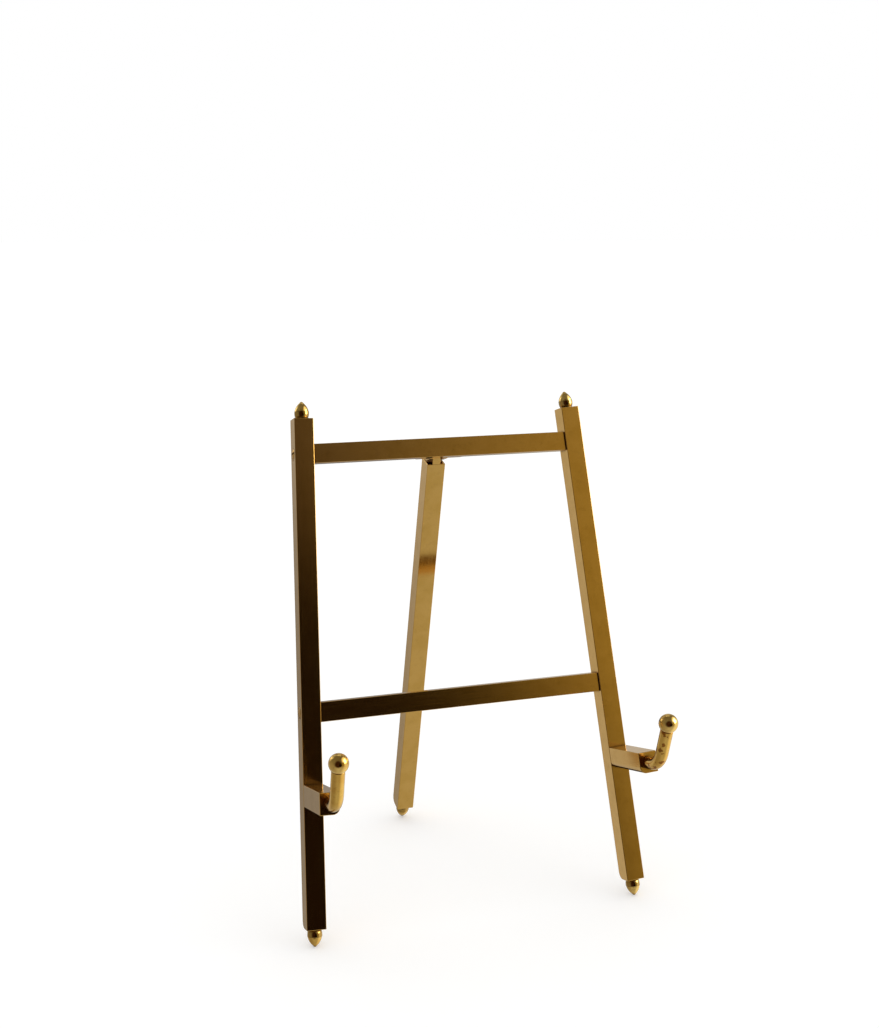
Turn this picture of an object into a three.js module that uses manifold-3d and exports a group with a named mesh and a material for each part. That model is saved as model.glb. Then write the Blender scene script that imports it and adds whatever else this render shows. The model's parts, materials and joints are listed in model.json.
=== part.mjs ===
// A brass easel that displays a plate.
// Two square posts, slightly closer together at the top, lean back and are tied by two rails. Each
// post carries an arm with an upturned, ball-ended peg, which holds the plate's rim. A rear leg hinges
// on the upper rail and folds flat behind the posts. The posts and the rear leg end in turned acorns.
// Millimetres, +Z up, the front faces -Y. The origin is under the middle, on the surface it stands on.
import * as THREE from "three";
import { mergeVertices } from "three/addons/utils/BufferGeometryUtils.js";
import Module from "manifold-3d";

const wasm = await Module();
wasm.setup();
const degrees = THREE.MathUtils.degToRad;

// ---- Driving dimensions ----

// Posts and rear leg, from square bar
const BAR = 8; // side of the square bar
const EDGE = 0.4; // chamfer on the long edges
const HEEL_RADIUS = 3; // round on the rear corner of each lower end
const POST_LENGTH = 205;
const LEAN = degrees(15.2); // of the posts, backwards
const SPLAY = degrees(3.1); // of each post, towards the other at the top
const FOOT_SPREAD = 141; // between the tips of the two front acorns

// Acorns at both ends of the posts and at the foot of the rear leg
const ACORN = { length: 7.8, collarRadius: 2.6, bulgeRadius: 2.95, bulgeDepth: 1.8, tipRadius: 0.8 };
const ACORN_STEM = { radius: 1.6, length: 9 };

// Arms, as wide as the posts, with their lower inner edges rounded
const ARM = { height: 8.7, length: 28.5, bottom: 55.2, roundRadius: 2.8 };

// Pegs, bent up from the ends of the arms, and their balls
const PEG = { radius: 2.65, run: 3.9, bendRadius: 11, bend: degrees(58), rise: 11.2 };
const PEG_ROLL = degrees(4); // of each peg in its arm, so that the balls stand a little further apart
const PEG_SPIGOT = { radius: 1.7, length: 6.5 }; // in the arm
const BALL = { radius: 3.9 };
const BALL_SPIGOT = { radius: 1.3, length: 2.4 }; // on the peg, in the ball

// Rails
const RAIL = { height: 8, depth: 6 };
const LOWER_RAIL_AT = 92; // height of its middle above the acorn tips, along the frame
const UPPER_RAIL_DROP = 15; // from the top of the posts down to its middle

// Rear leg and its hinge
const REAR_SPREAD = 112; // from the front acorn tips back to the rear one
const BRACKET = { width: 27, thickness: 1.6, cheekThickness: 2.1, cheekRadius: 4.2, screwSpacing: 19 };
const PIN = { radius: 1.5, headRadius: 2.5, headHeight: 1.5, nutLength: 3.2 };
const TONGUE_SHOULDER = 4.8; // from the hinge pin down to the full width of the rear leg
const HEEL = { length: 4.6, depth: 4.2 }; // above the pin: it meets the bracket when the leg is open

// Fasteners: raised countersunk screws with a slot
const SCREW = { radius: 1.4, headRadius: 2.5, headDepth: 1.2, dome: 0.5, slot: 0.6, slotDepth: 0.9 };
const SMALL_SCREW = { radius: 1, headRadius: 1.9, headDepth: 0.9, dome: 0.4, slot: 0.5, slotDepth: 0.7 };
const SCREW_GRIP = 8; // length of thread in the piece that the screw holds
const SMALL_SCREW_GRIP = 3.6;

// Clearances
const JOINT_GAP = 0.1; // between faces that meet
const BORE_CLEARANCE = 0.12; // around screws, stems and spigots
const PIN_CLEARANCE = 0.09; // around the hinge pin
const SIDE_CLEARANCE = 0.15; // each side of the rear leg's tongue

// Facets around a circle
const ROUND = 24;
const SMALL_ROUND = 16;

// ---- Dimensions that follow ----

// Heights along a post are from the centre of its lower acorn's rounded tip.
const POST_BOTTOM = ACORN.length - ACORN.tipRadius;
const POST_TOP = POST_BOTTOM + POST_LENGTH;
const UPPER_RAIL_AT = POST_TOP - UPPER_RAIL_DROP;
const ARM_FRONT = -(BAR / 2 + JOINT_GAP + ARM.length);
const ARM_MIDDLE = ARM.bottom + ARM.height / 2;
const BALL_SEAT = Math.sqrt(BALL.radius ** 2 - PEG.radius ** 2); // from its flat up to its centre
const RAIL_REAR = RAIL.depth / 2;
const PIN_SETBACK = BAR / 2 + 2 * SIDE_CLEARANCE; // from the bracket's strap to the pin
const PIN_Y = RAIL_REAR + JOINT_GAP + BRACKET.thickness + PIN_SETBACK;
const TONGUE_WIDTH = BAR - 2 * BRACKET.cheekThickness - 2 * SIDE_CLEARANCE;

// Where the hinge pin stands once the frame leans back, above and behind the front acorn tips
const ACROSS = new THREE.Vector3(1, 0, 0);
const BACKWARDS = new THREE.Vector3(0, 1, 0);
const UPWARDS = new THREE.Vector3(0, 0, 1);
const HINGE = new THREE.Vector3(0, PIN_Y, UPPER_RAIL_AT).applyAxisAngle(ACROSS, -LEAN);
const REAR_LEAN = Math.atan2(REAR_SPREAD - HINGE.y, HINGE.z);
const REAR_LENGTH = Math.hypot(REAR_SPREAD - HINGE.y, HINGE.z); // from the pin to its acorn's tip
const OPEN_ANGLE = LEAN + REAR_LEAN; // between the rear leg and the posts

// ---- Materials ----

const brass = (name, color, roughness) =>
  new THREE.MeshStandardMaterial({ name, color, roughness, metalness: 1 });
const BAR_BRASS = brass("bar_brass", 0xb98f48, 0.2);
const HOOK_BRASS = brass("hook_brass", 0xcf9f4c, 0.16);
const TURNED_BRASS = brass("turned_brass", 0xcaa455, 0.14);
const SCREW_BRASS = brass("screw_brass", 0xa98446, 0.3);

// ---- Making and joining solids ----

function solid(geometry) {
  const bare = geometry.clone();
  bare.deleteAttribute("normal");
  bare.deleteAttribute("uv");
  const merged = mergeVertices(bare, 1e-4);
  return new wasm.Manifold(
    new wasm.Mesh({
      numProp: 3,
      vertProperties: new Float32Array(merged.attributes.position.array),
      triVerts: new Uint32Array(merged.index.array),
    }),
  );
}

function geometryOf(body) {
  const mesh = body.getMesh();
  const geometry = new THREE.BufferGeometry();
  const positions = new Float32Array(mesh.vertProperties);
  geometry.setAttribute("position", new THREE.BufferAttribute(positions, 3));
  geometry.setIndex(new THREE.BufferAttribute(new Uint32Array(mesh.triVerts), 1));
  geometry.computeVertexNormals();
  return geometry;
}

// The first geometry, with the added ones joined to it and the cut ones taken out of it.
function shaped(base, { add = [], cut = [] }) {
  let body = solid(base);
  for (const piece of add) body = body.add(solid(piece));
  for (const piece of cut) body = body.subtract(solid(piece));
  return geometryOf(body);
}

// A plate with the given outline in the YZ plane, centred on X, with chamfered rims.
function plateAcrossX(outline, width, edge) {
  return extruded(outline, width, edge).applyMatrix4(
    new THREE.Matrix4().makeBasis(
      new THREE.Vector3(0, 1, 0),
      new THREE.Vector3(0, 0, 1),
      new THREE.Vector3(1, 0, 0),
    ),
  );
}

// A plate with the given outline in the XZ plane, centred on Y, with chamfered rims.
function plateAcrossY(outline, depth, edge) {
  return extruded(outline, depth, edge).applyMatrix4(
    new THREE.Matrix4().makeBasis(
      new THREE.Vector3(1, 0, 0),
      new THREE.Vector3(0, 0, 1),
      new THREE.Vector3(0, -1, 0),
    ),
  );
}

function extruded(outline, thickness, edge) {
  return new THREE.ExtrudeGeometry(outline, {
    depth: thickness - 2 * edge,
    bevelEnabled: edge > 0,
    bevelThickness: edge,
    bevelSize: edge,
    bevelOffset: -edge,
    bevelSegments: 1,
    curveSegments: 5,
  }).translate(0, 0, edge - thickness / 2);
}

function outlineOf(...points) {
  return new THREE.Shape(points.map(([x, y]) => new THREE.Vector2(x, y)));
}

// A turned piece: the profile gives radius and height, from the axis at the bottom to that at the top.
function turned(profile, facets = ROUND) {
  const points = profile.map(([radius, height]) => new THREE.Vector2(radius, height));
  return new THREE.LatheGeometry(points, facets).rotateX(Math.PI / 2);
}

function cylinder(radius, bottom, top, facets = SMALL_ROUND) {
  return turned([[0, bottom], [radius, bottom], [radius, top], [0, top]], facets);
}

function circleArc(centre, radius, from, to, steps) {
  return Array.from({ length: steps + 1 }, (_, i) => {
    const angle = from + ((to - from) * i) / steps;
    return [Math.max(radius * Math.cos(angle), 0), centre + radius * Math.sin(angle)];
  });
}

// Points up the side of a low dome, between its rim and its top.
function domeProfile(radius, height) {
  return [0.35, 0.7, 0.92].map((share) => [radius * Math.sqrt(1 - share ** 2), height * share]);
}

// ---- Turned pieces and fasteners, each along Z ----

// An acorn pointing down: its tip is rounded about the origin and its stem goes up into the bar.
function acorn() {
  const side = new THREE.CubicBezierCurve(
    new THREE.Vector2(ACORN.tipRadius * 0.8, -ACORN.tipRadius * 0.6),
    new THREE.Vector2(ACORN.bulgeRadius * 0.72, ACORN.length * 0.22),
    new THREE.Vector2(ACORN.bulgeRadius, POST_BOTTOM - ACORN.bulgeDepth - ACORN.length * 0.22),
    new THREE.Vector2(ACORN.bulgeRadius, POST_BOTTOM - ACORN.bulgeDepth),
  );
  const shoulder = new THREE.QuadraticBezierCurve(
    new THREE.Vector2(ACORN.bulgeRadius, POST_BOTTOM - ACORN.bulgeDepth),
    new THREE.Vector2(ACORN.bulgeRadius, POST_BOTTOM - ACORN.bulgeDepth / 3),
    new THREE.Vector2(ACORN.collarRadius, POST_BOTTOM - JOINT_GAP),
  );
  const flank = Math.asin(0.6); // where the tip's round meets the side
  return turned([
    ...circleArc(0, ACORN.tipRadius, -Math.PI / 2, -flank, 3),
    ...side.getPoints(6).slice(1).map((p) => [p.x, p.y]),
    ...shoulder.getPoints(3).slice(1).map((p) => [p.x, p.y]),
    [ACORN_STEM.radius, POST_BOTTOM - JOINT_GAP],
    [ACORN_STEM.radius, POST_BOTTOM + ACORN_STEM.length],
    [0, POST_BOTTOM + ACORN_STEM.length],
  ]);
}

// A ball whose underside is cut flat to sit on its peg.
function ball() {
  const underside = -Math.acos(PEG.radius / BALL.radius);
  const bore = BALL_SPIGOT.radius + BORE_CLEARANCE;
  const boreTop = BALL_SPIGOT.length + BORE_CLEARANCE - BALL_SEAT;
  return turned([
    [0, boreTop],
    [bore, boreTop],
    [bore, -BALL_SEAT],
    ...circleArc(0, BALL.radius, underside, Math.PI / 2, 10),
  ]);
}

// A screw: its countersunk head is flush with the plane Z = 0, apart from its dome.
function screwProfile(kind, length, clearance) {
  const head = kind.headRadius + clearance;
  const shank = kind.radius + clearance;
  return [
    [0, -length - clearance],
    [shank, -length - clearance],
    [shank, -kind.headDepth - clearance],
    [head, -clearance],
  ];
}

function screw(kind, length) {
  const dome = domeProfile(kind.headRadius, kind.dome);
  const body = turned([...screwProfile(kind, length, 0), ...dome, [0, kind.dome]], SMALL_ROUND);
  const slot = new THREE.BoxGeometry(3 * kind.headRadius, kind.slot, 2 * kind.slotDepth);
  return shaped(body, { cut: [slot.translate(0, 0, kind.dome)] });
}

// The hole that a screw goes through, open above the surface.
function screwHole(kind, length) {
  const mouth = kind.headRadius + BORE_CLEARANCE;
  return turned([...screwProfile(kind, length, BORE_CLEARANCE), [mouth, 1], [0, 1]], SMALL_ROUND);
}

// Turns and moves a geometry made along Z so that its +Z points along the given way.
function pointed(geometry, way, x, y, z) {
  const turn = new THREE.Quaternion().setFromUnitVectors(UPWARDS, way);
  return geometry.applyQuaternion(turn).translate(x, y, z);
}

// ---- Assembly ----

const root = new THREE.Group();
const stand = new THREE.Group();
root.add(stand);

function addPiece(group, name, geometry, material) {
  const mesh = new THREE.Mesh(geometry, material);
  mesh.name = name;
  group.add(mesh);
  return mesh;
}

// The posts and what they carry stand in a frame that leans back about the line through the acorn tips.
const frontFrame = new THREE.Group();
frontFrame.position.z = ACORN.tipRadius;
frontFrame.rotation.x = -LEAN;
stand.add(frontFrame);

// A square bar from bottom to top along Z, with the rear corner of its lower end rounded.
function squareBar(bottom, top) {
  const half = BAR / 2;
  const outline = new THREE.Shape();
  outline.moveTo(-half, bottom);
  outline.lineTo(half - HEEL_RADIUS, bottom);
  outline.absarc(half - HEEL_RADIUS, bottom + HEEL_RADIUS, HEEL_RADIUS, -Math.PI / 2, 0, false);
  outline.lineTo(half, top);
  outline.lineTo(-half, top);
  outline.closePath();
  return plateAcrossX(outline, BAR, EDGE);
}

function stemBore() {
  return cylinder(ACORN_STEM.radius + BORE_CLEARANCE, -1, ACORN_STEM.length + BORE_CLEARANCE);
}

// The peg's centre line, in the plane of its arm: out along the arm, round the bend and up to the ball.
class PegLine extends THREE.Curve {
  constructor(run, radius, bend, rise) {
    super();
    Object.assign(this, { run, radius, bend, rise });
    this.arc = radius * bend;
    this.total = run + this.arc + rise;
  }

  // Way of the line at a distance, as an angle above the arm's own direction.
  angleAt(distance) {
    return THREE.MathUtils.clamp((distance - this.run) / this.radius, 0, this.bend);
  }

  getPoint(t, target = new THREE.Vector3()) {
    const distance = t * this.total;
    const angle = this.angleAt(distance);
    const before = Math.min(distance, this.run);
    const after = Math.max(distance - this.run - this.arc, 0);
    const forwards = before + this.radius * Math.sin(angle) + after * Math.cos(angle);
    const upwards = this.radius * (1 - Math.cos(angle)) + after * Math.sin(angle);
    return target.set(0, -forwards, upwards);
  }
}

const pegLine = new PegLine(PEG.run, PEG.bendRadius, PEG.bend, PEG.rise);
const pegEnd = pegLine.getPoint(1);
const pegWay = new THREE.Vector3(0, -Math.cos(PEG.bend), Math.sin(PEG.bend));

function peg() {
  const section = new THREE.Shape().absarc(0, 0, PEG.radius, 0, 2 * Math.PI, false);
  const rod = new THREE.ExtrudeGeometry(section, {
    extrudePath: pegLine,
    steps: 16,
    curveSegments: SMALL_ROUND / 2,
    bevelEnabled: false,
  });
  const overlap = 1;
  const armSpigot = cylinder(PEG_SPIGOT.radius, -overlap, PEG_SPIGOT.length);
  const ballSpigot = cylinder(BALL_SPIGOT.radius, -overlap, BALL_SPIGOT.length);
  pointed(armSpigot, BACKWARDS, 0, 0, 0);
  pointed(ballSpigot, pegWay, pegEnd.x, pegEnd.y, pegEnd.z);
  return shaped(rod, { add: [armSpigot, ballSpigot] });
}

// The section of an arm on the given side, across X and up Z.
function armOutline(side) {
  const inner = (-side * BAR) / 2;
  const outer = -inner;
  const corner = new THREE.Vector2(inner + side * ARM.roundRadius, ARM.bottom + ARM.roundRadius);
  const outline = new THREE.Shape();
  outline.moveTo(outer, ARM.bottom);
  outline.lineTo(outer, ARM.bottom + ARM.height);
  outline.lineTo(inner, ARM.bottom + ARM.height);
  const start = side > 0 ? Math.PI : 0;
  outline.absarc(corner.x, corner.y, ARM.roundRadius, start, -Math.PI / 2, side < 0);
  outline.closePath();
  return outline;
}

// How far each rail's screws stand up a post, and the length of such a screw.
const railScrewAt = (railAt) => railAt / Math.cos(SPLAY);
const RAIL_SCREW_LENGTH = BAR + JOINT_GAP + SCREW_GRIP;
const ARM_SCREW_LENGTH = BAR + JOINT_GAP + SCREW_GRIP;

function buildSide(name, side) {
  const group = new THREE.Group();
  group.position.x = (side * FOOT_SPREAD) / 2;
  group.rotation.y = -side * SPLAY;
  frontFrame.add(group);
  group.updateMatrix();

  const outwards = ACROSS.clone().multiplyScalar(side);
  const outerFace = (side * BAR) / 2;
  const railHole = (railAt) =>
    pointed(screwHole(SCREW, RAIL_SCREW_LENGTH), outwards, outerFace, 0, railScrewAt(railAt));
  const armHole = () =>
    pointed(screwHole(SCREW, ARM_SCREW_LENGTH), BACKWARDS, 0, BAR / 2, ARM_MIDDLE);

  const post = shaped(squareBar(POST_BOTTOM, POST_TOP), {
    cut: [
      stemBore().translate(0, 0, POST_BOTTOM),
      stemBore().rotateX(Math.PI).translate(0, 0, POST_TOP),
      railHole(LOWER_RAIL_AT),
      railHole(UPPER_RAIL_AT),
      armHole(),
    ],
  });
  addPiece(group, name + "_post", post, BAR_BRASS);
  addPiece(group, name + "_foot_acorn", acorn(), TURNED_BRASS);
  const topAcorn = addPiece(group, name + "_top_acorn", acorn(), TURNED_BRASS);
  topAcorn.rotation.x = Math.PI;
  topAcorn.position.z = POST_TOP + POST_BOTTOM;

  for (const [rail, railAt] of [["lower", LOWER_RAIL_AT], ["upper", UPPER_RAIL_AT]]) {
    const railScrew = screw(SCREW, RAIL_SCREW_LENGTH);
    pointed(railScrew, outwards, outerFace, 0, railScrewAt(railAt));
    addPiece(group, `${rail}_rail_screw_${name}`, railScrew, SCREW_BRASS);
  }

  const armBlock = plateAcrossY(armOutline(side), ARM.length, EDGE);
  armBlock.translate(0, ARM_FRONT + ARM.length / 2, 0);
  const boreRadius = PEG_SPIGOT.radius + BORE_CLEARANCE;
  const spigotBore = cylinder(boreRadius, -1, PEG_SPIGOT.length + BORE_CLEARANCE);
  const arm = shaped(armBlock, {
    cut: [armHole(), pointed(spigotBore, BACKWARDS, 0, ARM_FRONT, ARM_MIDDLE)],
  });
  addPiece(group, name + "_arm", arm, BAR_BRASS);
  const armScrew = pointed(screw(SCREW, ARM_SCREW_LENGTH), BACKWARDS, 0, BAR / 2, ARM_MIDDLE);
  addPiece(group, name + "_arm_screw", armScrew, SCREW_BRASS);

  const hook = new THREE.Group();
  hook.position.set(0, ARM_FRONT - JOINT_GAP, ARM_MIDDLE);
  hook.rotation.y = side * PEG_ROLL;
  group.add(hook);
  addPiece(hook, name + "_hook_peg", peg(), HOOK_BRASS);
  const ballMesh = addPiece(hook, name + "_hook_ball", ball(), TURNED_BRASS);
  ballMesh.quaternion.setFromUnitVectors(UPWARDS, pegWay);
  ballMesh.position.copy(pegEnd).addScaledVector(pegWay, BALL_SEAT + JOINT_GAP);

  return { group, railHole };
}

const left = buildSide("left", -1);
const right = buildSide("right", 1);

// Half the length of a rail at a height up the frame, between the inner sides of the posts.
const railHalfAt = (height) =>
  FOOT_SPREAD / 2 - height * Math.tan(SPLAY) - (BAR / 2 + JOINT_GAP) / Math.cos(SPLAY);

function rail(railAt, extraCuts = []) {
  const bottom = railAt - RAIL.height / 2;
  const top = railAt + RAIL.height / 2;
  const outline = outlineOf(
    [-railHalfAt(bottom), bottom],
    [railHalfAt(bottom), bottom],
    [railHalfAt(top), top],
    [-railHalfAt(top), top],
  );
  const ends = [left, right].map((side) => side.railHole(railAt).applyMatrix4(side.group.matrix));
  return shaped(plateAcrossY(outline, RAIL.depth, EDGE), { cut: [...ends, ...extraCuts] });
}

// The hinge bracket: a strap on the back of the upper rail, with two cheeks that hold the pin.
const STRAP_FRONT = RAIL_REAR + JOINT_GAP;
const STRAP_REAR = STRAP_FRONT + BRACKET.thickness;
const BRACKET_SCREW_LENGTH = BRACKET.thickness + JOINT_GAP + SMALL_SCREW_GRIP;

function strapHole(x) {
  return pointed(screwHole(SMALL_SCREW, BRACKET_SCREW_LENGTH), BACKWARDS, x, STRAP_REAR, UPPER_RAIL_AT);
}

function pinBore(halfLength) {
  return pointed(cylinder(PIN.radius + PIN_CLEARANCE, -halfLength, halfLength, ROUND), ACROSS, 0, 0, 0);
}

function hingeBracket() {
  const end = BRACKET.width / 2 - RAIL.height / 2;
  const strapOutline = new THREE.Shape();
  strapOutline.absarc(end, UPPER_RAIL_AT, RAIL.height / 2, -Math.PI / 2, Math.PI / 2, false);
  strapOutline.absarc(-end, UPPER_RAIL_AT, RAIL.height / 2, Math.PI / 2, (3 * Math.PI) / 2, false);
  const strap = plateAcrossY(strapOutline, BRACKET.thickness, 0.3).translate(
    0,
    (STRAP_FRONT + STRAP_REAR) / 2,
    0,
  );
  const cheekOutline = new THREE.Shape();
  cheekOutline.moveTo(STRAP_REAR - BRACKET.thickness / 2, UPPER_RAIL_AT - BRACKET.cheekRadius);
  cheekOutline.absarc(PIN_Y, UPPER_RAIL_AT, BRACKET.cheekRadius, -Math.PI / 2, Math.PI / 2, false);
  cheekOutline.lineTo(STRAP_REAR - BRACKET.thickness / 2, UPPER_RAIL_AT + BRACKET.cheekRadius);
  const cheeks = [-1, 1].map((side) =>
    plateAcrossX(cheekOutline, BRACKET.cheekThickness, 0).translate(
      (side * (BAR - BRACKET.cheekThickness)) / 2,
      0,
      0,
    ),
  );
  return shaped(strap, {
    add: cheeks,
    cut: [
      pinBore(BAR).translate(0, PIN_Y, UPPER_RAIL_AT),
      strapHole(-BRACKET.screwSpacing / 2),
      strapHole(BRACKET.screwSpacing / 2),
    ],
  });
}

// The pin is held by its own head on the left and by a domed nut on the right.
function hingePin() {
  const half = BAR / 2 + JOINT_GAP;
  const reach = half + PIN.nutLength - PIN.headHeight;
  const dome = domeProfile(PIN.headRadius, PIN.headHeight).map(([r, h]) => [r, -half - h]);
  return turned([
    [0, -half - PIN.headHeight],
    ...dome.reverse(),
    [PIN.headRadius, -half],
    [PIN.radius, -half],
    [PIN.radius, reach],
    [0, reach],
  ]);
}

function capNut() {
  const bottom = BAR / 2 + JOINT_GAP;
  const shoulder = bottom + PIN.nutLength - PIN.headHeight;
  const boreTop = shoulder + BORE_CLEARANCE;
  const bore = PIN.radius + BORE_CLEARANCE;
  const dome = domeProfile(PIN.headRadius, PIN.headHeight).map(([r, h]) => [r, shoulder + h]);
  return turned([
    [0, boreTop],
    [bore, boreTop],
    [bore, bottom],
    [PIN.headRadius, bottom],
    [PIN.headRadius, shoulder],
    ...dome,
    [0, shoulder + PIN.headHeight],
  ]);
}

addPiece(frontFrame, "lower_rail", rail(LOWER_RAIL_AT), BAR_BRASS);
const strapHoles = [-1, 1].map((side) => strapHole((side * BRACKET.screwSpacing) / 2));
addPiece(frontFrame, "upper_rail", rail(UPPER_RAIL_AT, strapHoles), BAR_BRASS);
addPiece(frontFrame, "hinge_bracket", hingeBracket(), HOOK_BRASS);
for (const [name, side] of [["left", -1], ["right", 1]]) {
  const strapScrew = screw(SMALL_SCREW, BRACKET_SCREW_LENGTH);
  const x = (side * BRACKET.screwSpacing) / 2;
  pointed(strapScrew, BACKWARDS, x, STRAP_REAR, UPPER_RAIL_AT);
  addPiece(frontFrame, "bracket_screw_" + name, strapScrew, SCREW_BRASS);
}
addPiece(frontFrame, "hinge_pin", pointed(hingePin(), ACROSS, 0, PIN_Y, UPPER_RAIL_AT), SCREW_BRASS);
addPiece(frontFrame, "hinge_cap_nut", pointed(capNut(), ACROSS, 0, PIN_Y, UPPER_RAIL_AT), SCREW_BRASS);

// The rear leg hangs from the pin: its own origin is the pin, and it runs down its own -Z.
const rearGroup = new THREE.Group();
rearGroup.position.copy(HINGE).add(new THREE.Vector3(0, 0, ACORN.tipRadius));
rearGroup.rotation.x = REAR_LEAN;
stand.add(rearGroup);

function rearLeg() {
  const lowerEnd = POST_BOTTOM - REAR_LENGTH;
  const half = BAR / 2;
  // The heel lies along the bracket's strap when the leg is open, so it is turned by the open angle.
  const out = new THREE.Vector2(-Math.cos(OPEN_ANGLE), Math.sin(OPEN_ANGLE));
  const up = new THREE.Vector2(Math.sin(OPEN_ANGLE), Math.cos(OPEN_ANGLE));
  const heelPoint = (outwards, upwards) => [
    out.x * outwards + up.x * upwards,
    out.y * outwards + up.y * upwards,
  ];
  const heelFace = PIN_SETBACK - JOINT_GAP;
  const tongueFoot = -TONGUE_SHOULDER - HEEL_RADIUS;
  const tongue = outlineOf(
    [-half, tongueFoot],
    [half, tongueFoot],
    [half, 0],
    [half - EDGE, half / 2],
    heelPoint(heelFace - HEEL.depth, HEEL.length),
    heelPoint(heelFace, HEEL.length),
    heelPoint(heelFace, 0),
    [-half, 0],
  );
  return shaped(squareBar(lowerEnd, -TONGUE_SHOULDER), {
    add: [plateAcrossX(tongue, TONGUE_WIDTH, 0)],
    cut: [pinBore(BAR), stemBore().translate(0, 0, lowerEnd)],
  });
}

addPiece(rearGroup, "rear_leg", rearLeg(), BAR_BRASS);
addPiece(rearGroup, "rear_foot_acorn", acorn().translate(0, 0, -REAR_LENGTH), TURNED_BRASS);

// Stand the easel over the origin.
const footprint = new THREE.Box3().setFromObject(stand, true);
stand.position.x = -(footprint.min.x + footprint.max.x) / 2;
stand.position.y = -(footprint.min.y + footprint.max.y) / 2;
stand.position.z = -footprint.min.z;

export default root;
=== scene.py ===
import json
import math

import bmesh
import bpy
import numpy as np
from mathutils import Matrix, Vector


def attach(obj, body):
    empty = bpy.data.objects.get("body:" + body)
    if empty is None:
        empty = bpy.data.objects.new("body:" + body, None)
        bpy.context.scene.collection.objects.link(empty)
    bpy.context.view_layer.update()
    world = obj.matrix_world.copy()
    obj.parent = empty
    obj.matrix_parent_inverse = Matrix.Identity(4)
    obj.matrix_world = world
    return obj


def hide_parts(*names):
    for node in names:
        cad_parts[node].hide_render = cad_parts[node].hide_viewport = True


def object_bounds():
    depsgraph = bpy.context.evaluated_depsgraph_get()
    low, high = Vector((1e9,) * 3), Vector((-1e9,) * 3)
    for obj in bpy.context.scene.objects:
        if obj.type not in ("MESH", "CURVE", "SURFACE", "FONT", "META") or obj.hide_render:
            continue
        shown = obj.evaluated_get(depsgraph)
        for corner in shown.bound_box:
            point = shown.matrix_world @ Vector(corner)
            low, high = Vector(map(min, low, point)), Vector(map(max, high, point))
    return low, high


# A brass plate display stand: two square posts with ball-ended hooks, two rails and a folding rear leg.
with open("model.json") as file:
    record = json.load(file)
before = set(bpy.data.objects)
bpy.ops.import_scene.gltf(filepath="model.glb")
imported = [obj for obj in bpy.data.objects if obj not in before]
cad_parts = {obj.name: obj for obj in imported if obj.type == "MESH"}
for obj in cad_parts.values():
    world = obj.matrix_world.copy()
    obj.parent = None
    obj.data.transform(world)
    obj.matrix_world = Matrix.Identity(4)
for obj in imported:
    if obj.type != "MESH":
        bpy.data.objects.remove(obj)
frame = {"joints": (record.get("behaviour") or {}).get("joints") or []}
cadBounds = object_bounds()
mm = 0.001  # the pieces are worked out in millimetres in their own frames, then placed in metres

# Where the pieces stand, in millimetres. Heights run up the front frame or a post, from the centre of a tip.
stand = {
    "bar": 8.0,  # side of the square bar
    "lean": math.radians(15.2),  # of the posts, backwards
    "splay": math.radians(3.1),  # of each post, inwards at the top
    "footSpread": 141.0,
    "tipRadius": 0.8,  # of the acorns
    "postBottom": 6.4,
    "postTop": 212.0,
    "lowerRailAt": 92.0,
    "upperRailAt": 197.0,
    "armMiddle": 59.55,
    "pinBehind": 9.0,  # the hinge pin, behind the middle of the rails
    "gap": 0.1,  # between faces that meet
}
halfBar = stand["bar"] / 2


# The 4x4 matrix of a turn about one axis: cosines and sines in the rows and columns of the other two.
def turnAbout(axis, angle):
    c, s = math.cos(angle), math.sin(angle)
    first, second = {"x": (1, 2), "y": (2, 0), "z": (0, 1)}[axis]
    matrix = np.eye(4)
    matrix[first, first], matrix[first, second] = c, -s
    matrix[second, first], matrix[second, second] = s, c
    return matrix


# The 4x4 matrix of a move: the distances stand in its last column.
def move(x=0.0, y=0.0, z=0.0):
    matrix = np.eye(4)
    matrix[:3, 3] = x, y, z
    return matrix


# The hinge pin's place comes from the joint, and the front frame's origin is found back from it.
hinge = np.array(frame["joints"][0]["pos_m"]) / mm
pinInFrame = turnAbout("x", -stand["lean"]) @ [0, stand["pinBehind"], stand["upperRailAt"], 1]
tipsLine = hinge - pinInFrame[:3]  # the middle of the line between the centres of the front acorns' tips
frontFrame = move(*tipsLine) @ turnAbout("x", -stand["lean"])

rear = {"spread": 112.0}  # from the front acorns back to the rear one
rearReach = tipsLine[1] + rear["spread"] - hinge[1], hinge[2] - stand["tipRadius"]
rear["lean"] = math.atan2(*rearReach)
rear["length"] = math.hypot(*rearReach)  # from the pin to the centre of its acorn's tip
rear["openAngle"] = stand["lean"] + rear["lean"]
rearFrame = move(*hinge) @ turnAbout("x", rear["lean"])


# A post's frame: the front frame, moved sideways to the post's foot and turned inwards by the splay.
def sideFrame(side):
    return frontFrame @ move(side * stand["footSpread"] / 2) @ turnAbout("y", -side * stand["splay"])


print("placed: hinge pin at", np.round(hinge, 2), "mm, rear leg", round(rear["length"], 1), "mm")


# A shell gathers its points as whole arrays, and its faces as lists of point numbers.
class Shell:
    def __init__(self):
        self.points, self.faces, self.count = [], [], 0

    def add(self, points):
        points = np.asarray(points, float).reshape(-1, 3)
        self.points.append(points)
        self.count += len(points)
        return np.arange(self.count - len(points), self.count)


# Quads between the rows of a grid of point numbers, whose columns close into a ring: a point, the one beside
# it, and the same two in the next row.
def gridQuads(numbers):
    beside = np.roll(numbers, -1, axis=1)
    return np.stack([numbers[:-1], beside[:-1], beside[1:], numbers[1:]], axis=-1)


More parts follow.
